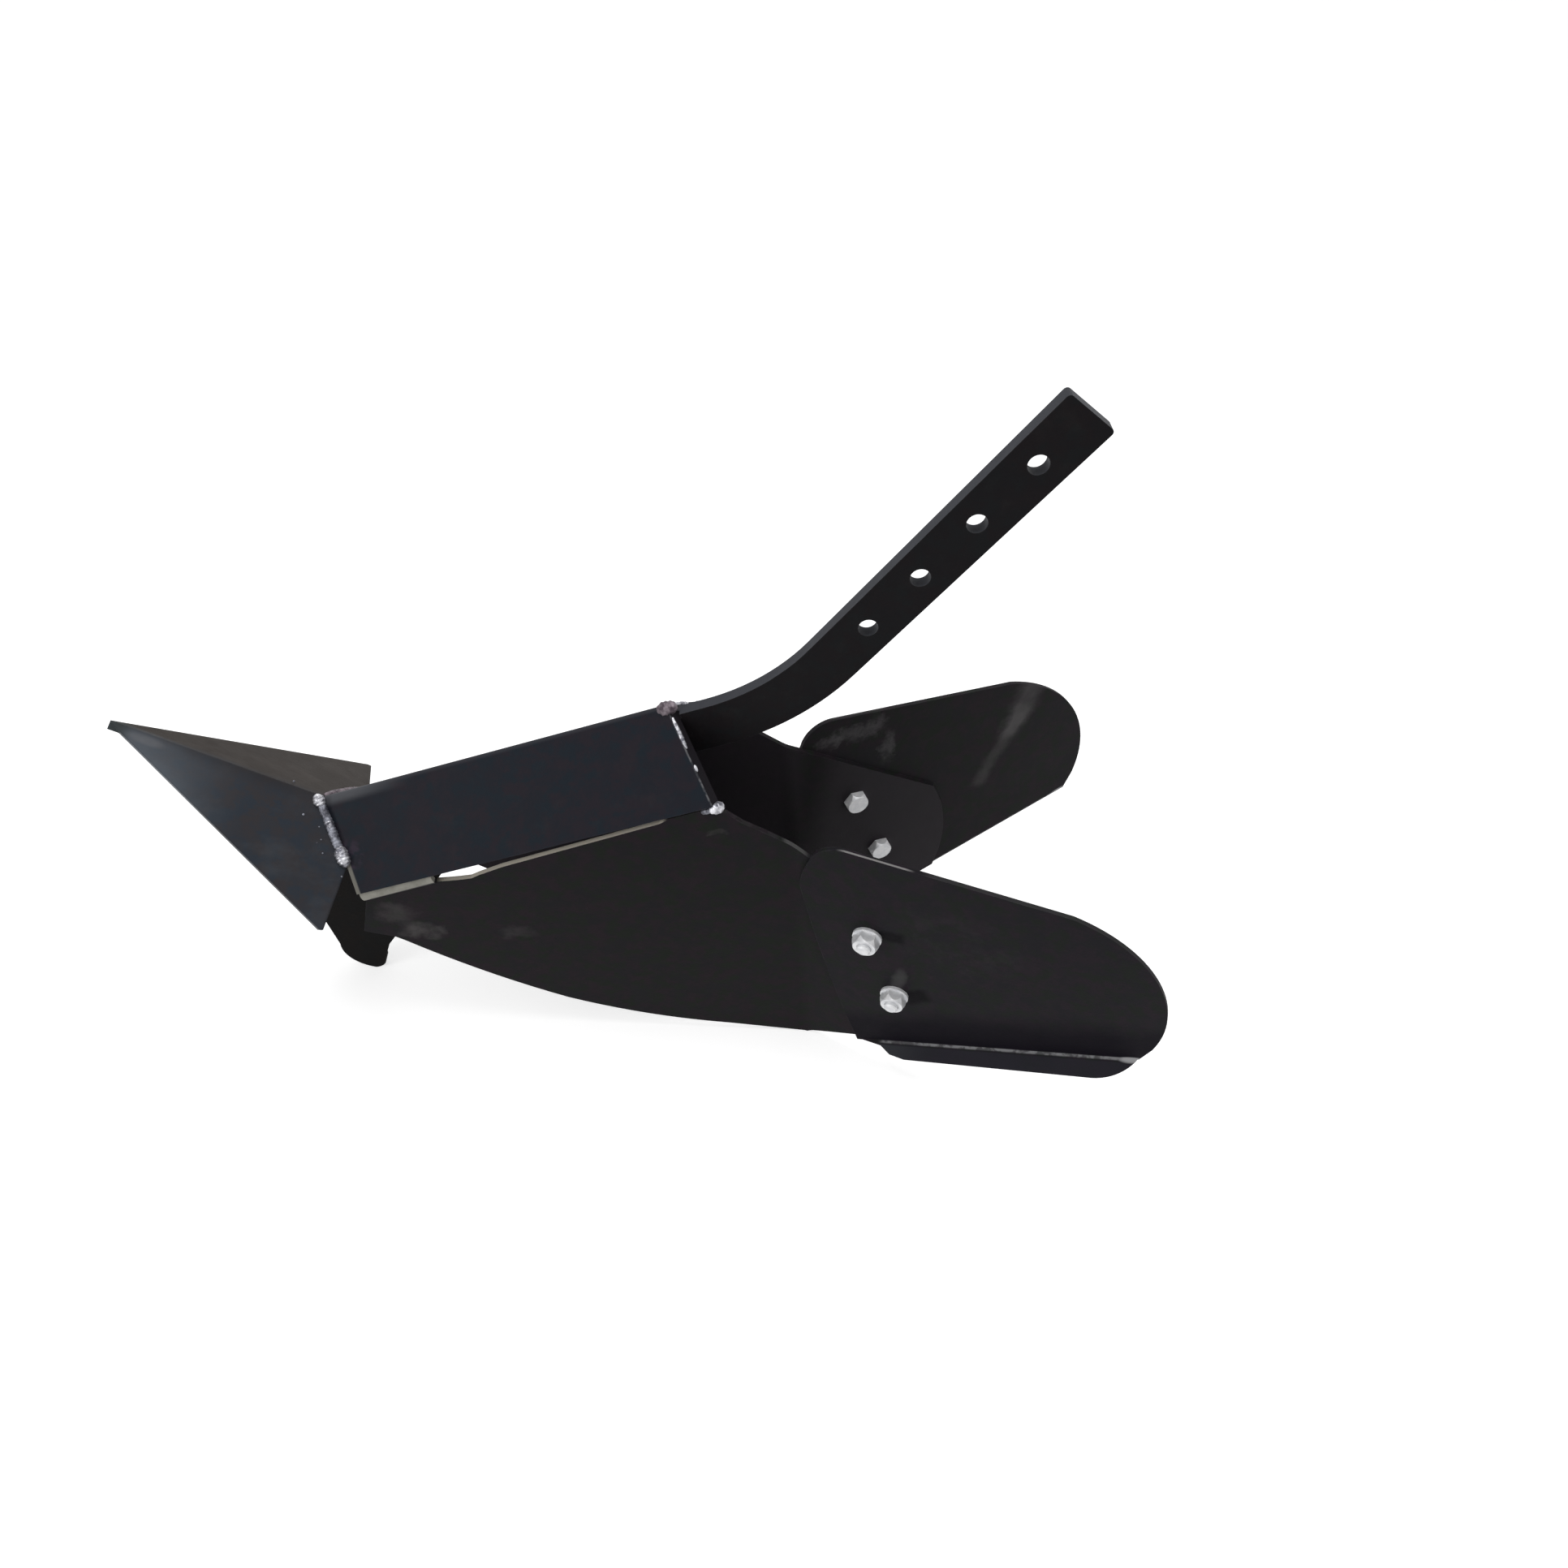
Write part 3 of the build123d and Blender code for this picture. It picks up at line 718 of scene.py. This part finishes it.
def grow(name, base, tree, values):
    """A piece from a base mesh and a Geometry Nodes tree, fixed to the ridger, with its slot."""
    piece = bpy.data.objects.new(name, base)
    scene.collection.objects.link(piece)
    modifier = piece.modifiers.new("growth", "NODES")
    modifier.node_group = tree
    set_inputs(modifier, tree, values)
    ready = piece.evaluated_get(bpy.context.evaluated_depsgraph_get())
    mesh = bpy.data.meshes.new_from_object(ready)
    piece.modifiers.clear()
    piece.data = mesh
    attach(piece, "root")
    return piece


def new_tree(name, inputs):
    tree = bpy.data.node_groups.new(name, "GeometryNodeTree")
    tree.interface.new_socket("Geometry", in_out="INPUT", socket_type="NodeSocketGeometry")
    for label, kind in inputs:
        tree.interface.new_socket(label, in_out="INPUT", socket_type="NodeSocket" + kind)
    tree.interface.new_socket("Geometry", in_out="OUTPUT", socket_type="NodeSocketGeometry")
    return Graph(tree), tree.nodes.new("NodeGroupInput").outputs


def finish_tree(graph, geometry, material):
    whole = graph.node("GeometryNodeRealizeInstances", Geometry=geometry)
    smooth = graph.node("GeometryNodeSetShadeSmooth", Geometry=whole)
    dressed = graph.node("GeometryNodeSetMaterial", Geometry=smooth, Material=material)
    graph.node("NodeGroupOutput", Geometry=dressed)
    return graph.tree


def bead_tree():
    """A weld run: a swept round whose size swells and shrinks, rippled and lumpy."""
    graph, given = new_tree("weld_run", (
        ("Start", "Vector"), ("Stop", "Vector"), ("Radius", "Float"), ("Ripple", "Float"),
        ("Taper", "Float"), ("Lump", "Float"), ("Seed", "Float"), ("Finish", "Material"),
    ))
    noise_4d = {"noise_dimensions": "4D"}
    line = graph.node("GeometryNodeCurvePrimitiveLine", Start=given["Start"], End=given["Stop"])
    fine = graph.node("GeometryNodeResampleCurve", {"mode": "COUNT"}, Curve=line, Count=96)
    spline = graph.node("GeometryNodeSplineParameter").outputs
    factor = graph.wire(spline["Factor"])
    length = graph.wire(spline["Length"])
    seed = graph.wire(given["Seed"])
    ends = (factor * (1 - factor) * 4).most(0.0) ** graph.wire(given["Taper"])
    swell = graph.node(
        "ShaderNodeTexNoise", noise_4d, Vector=(0, 0, 0), Scale=1.0, W=length * 160 + seed, Detail=1.0)
    ripple = (length * math.tau / graph.wire(given["Ripple"])).sine()
    girth = ends * (0.86 + graph.wire(swell.outputs["Fac"]) * 0.3 + ripple * 0.05)
    ring = graph.node("GeometryNodeCurvePrimitiveCircle", Resolution=28, Radius=given["Radius"])
    tube = graph.node(
        "GeometryNodeCurveToMesh", Curve=fine, Profile_Curve=ring, Scale=girth, Fill_Caps=True)
    place = graph.node("GeometryNodeInputPosition")
    lumps = graph.node(
        "ShaderNodeTexNoise", noise_4d, Vector=place, Scale=330.0, W=seed, Detail=2.0)
    push = (graph.wire(lumps.outputs["Fac"]) - 0.5) * graph.wire(given["Lump"])
    offset = graph.vector("SCALE", graph.node("GeometryNodeInputNormal"), push)
    lumpy = graph.node("GeometryNodeSetPosition", Geometry=tube, Offset=offset)
    return finish_tree(graph, lumpy, given["Finish"])


def droplet_tree():
    """Weld spatter: small balls of several sizes, one on each point of the base mesh."""
    graph, given = new_tree("weld_spatter", (
        ("Radius", "Float"), ("Seed", "Int"), ("Finish", "Material"),
    ))
    ball = graph.node("GeometryNodeMeshIcoSphere", Radius=given["Radius"], Subdivisions=3)
    size = graph.node(
        "FunctionNodeRandomValue", {"data_type": "FLOAT"}, _2=0.45, _3=1.25, Seed=given["Seed"])
    balls = graph.node(
        "GeometryNodeInstanceOnPoints", Points=given["Geometry"], Instance=ball, Scale=size.outputs[1])
    return finish_tree(graph, balls, given["Finish"])


def thread_tree():
    """Thread crests: a fine round run along a helix, turned onto the axis of its bolt."""
    graph, given = new_tree("bolt_thread", (
        ("Radius", "Float"), ("End Radius", "Float"), ("Height", "Float"), ("Turns", "Float"),
        ("Crest", "Float"), ("Place", "Vector"), ("Turn", "Vector"), ("Finish", "Material"),
    ))
    helix = graph.node(
        "GeometryNodeCurveSpiral", Resolution=48, Rotations=given["Turns"],
        Start_Radius=given["Radius"], End_Radius=given["End Radius"], Height=given["Height"])
    ring = graph.node("GeometryNodeCurvePrimitiveCircle", Resolution=8, Radius=given["Crest"])
    crest = graph.node("GeometryNodeCurveToMesh", Curve=helix, Profile_Curve=ring, Fill_Caps=True)
    placed = graph.node(
        "GeometryNodeTransform", Geometry=crest, Translation=given["Place"], Rotation=given["Turn"])
    return finish_tree(graph, placed, given["Finish"])


weld_run = bead_tree()
weld_spatter = droplet_tree()
bolt_thread = thread_tree()


def weld(name, start, stop, radius, metal, seed, taper=0.3, ripple=2.4, lump=1.4, node=None):
    """A weld run, its radius, ripple and lumps in millimetres, in place of a CAD node if given."""
    values = {
        "Start": tuple(start), "Stop": tuple(stop), "Radius": radius * mm, "Ripple": ripple * mm,
        "Taper": taper, "Lump": lump * mm, "Seed": float(seed), "Finish": metal,
    }
    piece = grow(name, bpy.data.meshes.new(name), weld_run, values)
    if node:
        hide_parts(node)


def welds():
    """Beads at the share, one across the ridge, and on both sides the rear cut and the toe."""
    length = seam_length / mm
    weld("left_share_bead", share_seam_point(-1, 0.4, 2.6), share_seam_point(length - 3, 0.8, 0.6),
         2.9, dull_weld, 3, node="left_share_weld")
    weld("left_share_bead_top", share_seam_point(-2.5, 0.8, 3.6), share_seam_point(7, 1.0, 2.4),
         3.7, bright_weld, 6, 0.5)
    weld("left_share_bead_middle", share_seam_point(15, 0.8, 2.2), share_seam_point(24, 0.9, 1.6),
         2.7, bright_weld, 7, 0.5)
    weld("left_share_bead_end", share_seam_point(length - 15, 1.2, 1.4),
         share_seam_point(length + 0.5, 1.6, 0.4), 4.4, bright_weld, 8, 0.5)
    weld("right_share_bead", on_side("right", share_seam_point(3, 0, 0.6)),
         on_side("right", share_seam_point(length - 6, 0, 0.6)), 2.9, brown_weld, 5,
         node="right_share_weld")
    weld("ridge_bead", ridge_point(246.0, -3.0), ridge_point(259.5, -4.2), 5.0, brown_weld, 11,
         0.5, 3.0, 2.2, node="ridge_weld")
    for side, shift in (("left", 0), ("right", 20)):
        weld(f"{side}_breast_rear_bead", on_side(side, rear_cut_point(9)),
             on_side(side, rear_cut_point(31)), 1.35, bright_weld, 14 + shift, 0.4, 3.4, 0.9,
             node=f"{side}_breast_rear_weld")
        weld(f"{side}_breast_rear_tack", on_side(side, rear_cut_point(42)),
             on_side(side, rear_cut_point(47)), 1.0, bright_weld, 17 + shift, 0.5, 3.4, 0.5)
        weld(f"{side}_toe_bead", on_side(side, ridge_point(257.5, -52.6, -48.9)),
             on_side(side, ridge_point(268, -53.2, -47.6)), 2.1, dull_weld, 23 + shift, 0.3, 3.2, 1.2,
             node=f"{side}_moldboard_rear_weld")
        weld(f"{side}_toe_bead_end", on_side(side, ridge_point(262.5, -52.6, -48.6)),
             on_side(side, ridge_point(273, -53.4, -46.8)), 4.0, bright_weld, 26 + shift, 0.5, 3.2, 1.4)


def spatter():
    """A few droplets thrown on the share and the breast beside the left share bead."""
    draw = random.Random(41)
    points = [Vector((-248.6, 4.2, 207.9)) * mm, Vector((-213.6, -42.0, 166.9)) * mm]
    for _ in range(5):
        down = draw.uniform(0.0, seam_length)
        points.append(seam_top + share_seam * down + seam_front * draw.uniform(6, 16) * mm)
    base = bpy.data.meshes.new("left_share_spatter")
    base.from_pydata([tuple(p) for p in points], [], [])
    values = {"Radius": 0.8 * mm, "Seed": 6, "Finish": dull_weld}
    grow("left_share_spatter", base, weld_spatter, values)


def threads():
    """The turns of thread that stand out of the four nuts."""
    for number, back, up in bolt_places:
        place = wing_origin + (wing_back * back + wing_up * up + wing_out * bolt_end) * mm
        for side in ("left", "right"):
            name = f"{side}_bolt_{number}_thread"
            turn = on_side(side, wing_out).to_track_quat("Z", "Y").to_euler()
            values = {
                "Radius": 4.8 * mm, "End Radius": 4.2 * mm, "Height": 2.2 * mm, "Turns": 1.5,
                "Crest": 0.4 * mm, "Place": tuple(on_side(side, place)), "Turn": tuple(turn),
                "Finish": slot_finishes["zinc_steel"],
            }
            grow(name, bpy.data.meshes.new(name), bolt_thread, values)


welds()
spatter()
threads()


# Floor and world: white to the camera and to mirrors, dimmer as light on the ridger
def seen_directly(graph):
    path = graph.node("ShaderNodeLightPath").outputs
    camera = graph.wire(path["Is Camera Ray"])
    glossy = graph.wire(path["Is Glossy Ray"])
    through = graph.wire(path["Is Transmission Ray"])
    return (camera + glossy + through).clamped()


def floor():
    reach = 6.0
    shine = 0.62
    mesh = bpy.data.meshes.new("floor")
    corners = [(-reach, -reach, 0), (reach, -reach, 0), (reach, reach, 0), (-reach, reach, 0)]
    mesh.from_pydata(corners, [], [(0, 1, 2, 3)])
    plane = bpy.data.objects.new("floor", mesh)
    scene.collection.objects.link(plane)
    finish = Finish("floor_white", paint_gloss)
    grain = finish.noise(40, 2)
    tone = finish.mix(grain, tint(0.88, 0.88, 0.88), tint(0.9, 0.9, 0.9))
    glow = finish.mix(seen_directly(finish), tint(0, 0, 0), tint(shine, shine, shine))
    feed(finish.tree, finish.surface.inputs["Emission Color"], glow)
    finish.surface.inputs["Emission Strength"].default_value = 1.0
    plane.data.materials.append(finish.coat(tone, 0.9, 0.0, grain, bump=0.05, depth=0.5))


def studio():
    dim = 0.42
    world = bpy.data.worlds.new("studio")
    scene.world = world
    world.use_nodes = True
    graph = Graph(world.node_tree)
    back = world.node_tree.nodes["Background"].inputs
    back["Color"].default_value = tint(1, 1, 1)
    feed(graph.tree, back["Strength"], dim + seen_directly(graph) * (1 - dim))


floor()
studio()
